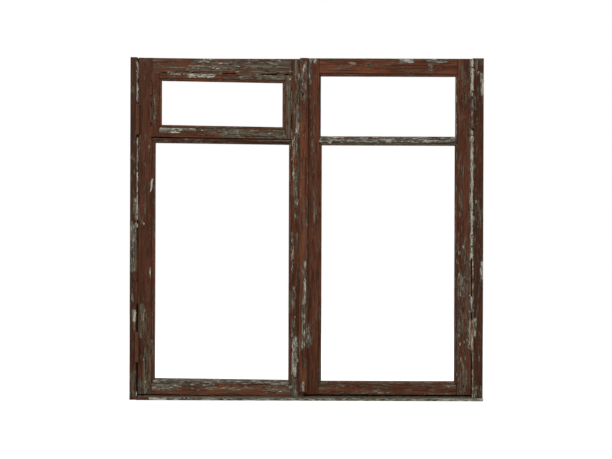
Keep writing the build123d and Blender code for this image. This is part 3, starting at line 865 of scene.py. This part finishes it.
def bank_dirt(material):
    """A low bank of dirt that has gathered on the sill under the leaves."""
    sill = mesh_tree(["frame_sill"])
    left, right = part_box("left_leaf_hinge_stile")[0].x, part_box("right_leaf_hinge_stile")[1].x
    steps, wide = round((right - left) / BANK_STEP), len(BANK_PROFILE)
    verts, faces = [], []
    for i in range(steps + 1):
        x = left + (right - left) * i / steps
        for j, (behind, rise) in enumerate(BANK_PROFILE):
            y = FACE_Y + behind * MM
            ground = sill.ray_cast(Vector((x, y, ABOVE_SILL)), Vector((0, 0, -1)))[0].z
            lump = noise.fractal(Vector((x * BANK_WAVES, j * 0.7, 4.0)), 1.0, 2.0, 3)
            height = rise * (1 + 0.50 * lump) - BANK_SINK
            verts.append((x, y + 0.7 * lump * MM, ground + height * MM))
    for i in range(steps):
        for j in range(wide - 1):
            a = i * wide + j
            faces.append((a, a + wide, a + wide + 1, a + 1))
    mesh = bpy.data.meshes.new("sill_dirt")
    mesh.from_pydata(verts, [], faces)
    add_mesh(mesh, material)


def surface_point(node_name, x, z):
    """Where a line from outdoors meets a node, and the surface's normal there."""
    tree = mesh_tree([node_name])
    spot, normal, _, _ = tree.ray_cast(Vector((x, -1.0, z)), Vector((0, 1, 0)))
    return spot, normal


def ring_skin(bm, rings, sides, ragged, spot_of):
    """Uneven rings joined into a skin that the last ring closes. Returns the rings' points.
    spot_of turns two steps in a ring's plane, as shares of the radius, and a height into a
    place."""
    loops = []
    for share, height in rings:
        loops.append([])
        for k in range(sides):
            angle = math.tau * k / sides
            across = share * math.cos(angle) * random.uniform(*ragged)
            up = share * math.sin(angle) * random.uniform(*ragged)
            loops[-1].append(bm.verts.new(spot_of(across, up, height)))
    for lower, upper in zip(loops, loops[1:]):
        for k in range(sides):
            bm.faces.new((lower[k], lower[(k + 1) % sides], upper[(k + 1) % sides], upper[k]))
    bm.faces.new(loops[-1])
    return loops


def nail_head(bm, spot, normal, radius, rise):
    """A low, slightly battered dome."""
    turn = normal.to_track_quat("Z", "Y").to_matrix()

    def spot_of(across, up, height):
        return spot + turn @ Vector((radius * across, radius * up, rise * height))

    loops = ring_skin(bm, NAIL_RINGS, NAIL_SIDES, NAIL_RAGGED, spot_of)
    bm.faces.new(list(reversed(loops[0])))


def peg_hole(bm, spot):
    """A sunken peg: a ragged ring with a hollow floor."""
    def spot_of(across, up, sunk):
        return spot + Vector((PEG_RADIUS * across, sunk * MM, PEG_RADIUS * up))

    ring_skin(bm, PEG_RINGS, PEG_SIDES, PEG_RAGGED, spot_of)


def add_piece(name, bm, material):
    bmesh.ops.recalc_face_normals(bm, faces=bm.faces)
    mesh = bpy.data.meshes.new(name)
    bm.to_mesh(mesh)
    bm.free()
    add_mesh(mesh, material)


def row_of_nails(low, high, count):
    """Even places between two ends, with a margin at both."""
    reach = high - low - 2 * NAIL_MARGIN
    return [low + NAIL_MARGIN + reach * step / (count - 1) for step in range(count)]


def drive_nails():
    """Nails hold the cover strip and the glazing beads."""
    bm = bmesh.new()
    low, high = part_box("cover_strip")
    middle = (low.x + high.x) / 2
    for z in reversed(row_of_nails(low.z, high.z, STRIP_NAILS)):
        x = middle + random.uniform(-STRIP_NAIL_STRAY, STRIP_NAIL_STRAY) * MM
        spot, normal = surface_point("cover_strip", x, z)
        nail_head(bm, spot + Vector((0, STRIP_NAIL_SUNK, 0)), normal, *STRIP_NAIL)
    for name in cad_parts:
        if name.startswith("bead_"):
            low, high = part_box(name)
            axis = grain_axis(low, high)
            count = max(2, round((high[axis] - low[axis]) / BEAD_NAIL_STEP))
            centre = (low + high) / 2
            for level in row_of_nails(low[axis], high[axis], count):
                centre[axis] = level
                spot, normal = surface_point(name, centre.x, centre.z)
                nail_head(bm, spot, normal, *BEAD_NAIL)
    add_piece("nails", bm, rusty_nail())


def sink_pegs():
    """The two pegs in the right leaf's lower corners: shallow hollows whose near-black colour is
    painted shade of a hole.
    """
    bm = bmesh.new()
    for pixel_x, pixel_y, node_name in PEGS:
        spot, _ = surface_point(node_name, *place(pixel_x, pixel_y))
        peg_hole(bm, spot)
    add_piece("pegs", bm, hole_painted_shade())


def make_camera():
    """The photograph's view: square on to the face, its middle in the middle of the picture."""
    centre_x, centre_z = place(PHOTO_WIDTH / 2, PHOTO_HEIGHT / 2)
    distance = PHOTO_WIDTH * METRES_PER_PIXEL * LENS / SENSOR
    data = bpy.data.cameras.new("camera")
    data.lens, data.sensor_width = LENS, SENSOR
    camera = bpy.data.objects.new("camera", data)
    camera.location = (centre_x, FACE_Y - distance, centre_z)
    camera.rotation_euler = (math.radians(90), CAMERA_ROLL, 0)
    bpy.context.scene.collection.objects.link(camera)
    bpy.context.scene.camera = camera


def make_stage():
    """A plain pale floor. The camera sees it as white, like the photograph's ground, with the
    window's shadow on it."""
    g = material_graph("floor")
    rays = g.node("ShaderNodeLightPath")
    pale = g.node("ShaderNodeBsdfDiffuse", {"Color": FLOOR_COLOUR})
    glow = g.node("ShaderNodeEmission", {"Color": (1, 1, 1, 1), "Strength": FLOOR_GLOW})
    lit = g.node("ShaderNodeAddShader", {0: pale.outputs[0], 1: glow.outputs[0]})
    seen = g.math("MAXIMUM", rays.outputs["Is Camera Ray"], rays.outputs["Is Glossy Ray"])
    either = g.node("ShaderNodeMixShader", {0: seen, 1: pale.outputs[0], 2: lit.outputs[0]})
    g.node("ShaderNodeOutputMaterial", {"Surface": either.outputs[0]})
    mesh = bpy.data.meshes.new("floor")
    mesh.from_pydata([(x * FLOOR_REACH, y * FLOOR_REACH, 0)
                      for x, y in ((-1, -1), (1, -1), (1, 1), (-1, 1))], [], [(0, 1, 2, 3)])
    mesh.materials.append(g.owner)
    floor = bpy.data.objects.new("floor", mesh)
    bpy.context.scene.collection.objects.link(floor)


def make_sky():
    """An overcast sky: white to the camera, softer as light."""
    g = Graph(bpy.data.worlds.new("sky"))
    rays = g.node("ShaderNodeLightPath").outputs
    seen = g.math("MAXIMUM", rays["Is Camera Ray"], rays["Is Glossy Ray"])
    seen = g.math("MAXIMUM", seen, rays["Is Transmission Ray"])
    sky = g.node("ShaderNodeBackground", {"Color": SKY_COLOUR, "Strength": SKY_STRENGTH})
    white = g.node("ShaderNodeBackground", {"Color": (1, 1, 1, 1), "Strength": 1.0})
    either = g.node("ShaderNodeMixShader", {0: seen, 1: sky.outputs[0], 2: white.outputs[0]})
    g.node("ShaderNodeOutputWorld", {"Surface": either.outputs[0]})
    bpy.context.scene.world = g.owner


def hang_lamps():
    """Broad lamps above the front and the back."""
    for name, energy, spot in LAMPS:
        lamp = bpy.data.lights.new(name, "AREA")
        lamp.shape = "RECTANGLE"
        lamp.size, lamp.size_y = LAMP_SIZE
        lamp.energy = energy
        holder = bpy.data.objects.new(name, lamp)
        holder.location = spot
        holder.rotation_euler = (LAMP_AIM - Vector(spot)).to_track_quat("-Z", "Y").to_euler()
        bpy.context.scene.collection.objects.link(holder)


wood = weathered_wood()
lifting = dress_wood(wood)
lift_flakes(lifting, wood)
hang_skins(wood)
bank_dirt(packed_dirt())
dress_hinges()
drive_nails()
sink_pegs()
make_camera()
make_stage()
make_sky()
hang_lamps()
bpy.context.scene.view_settings.view_transform = "Standard"
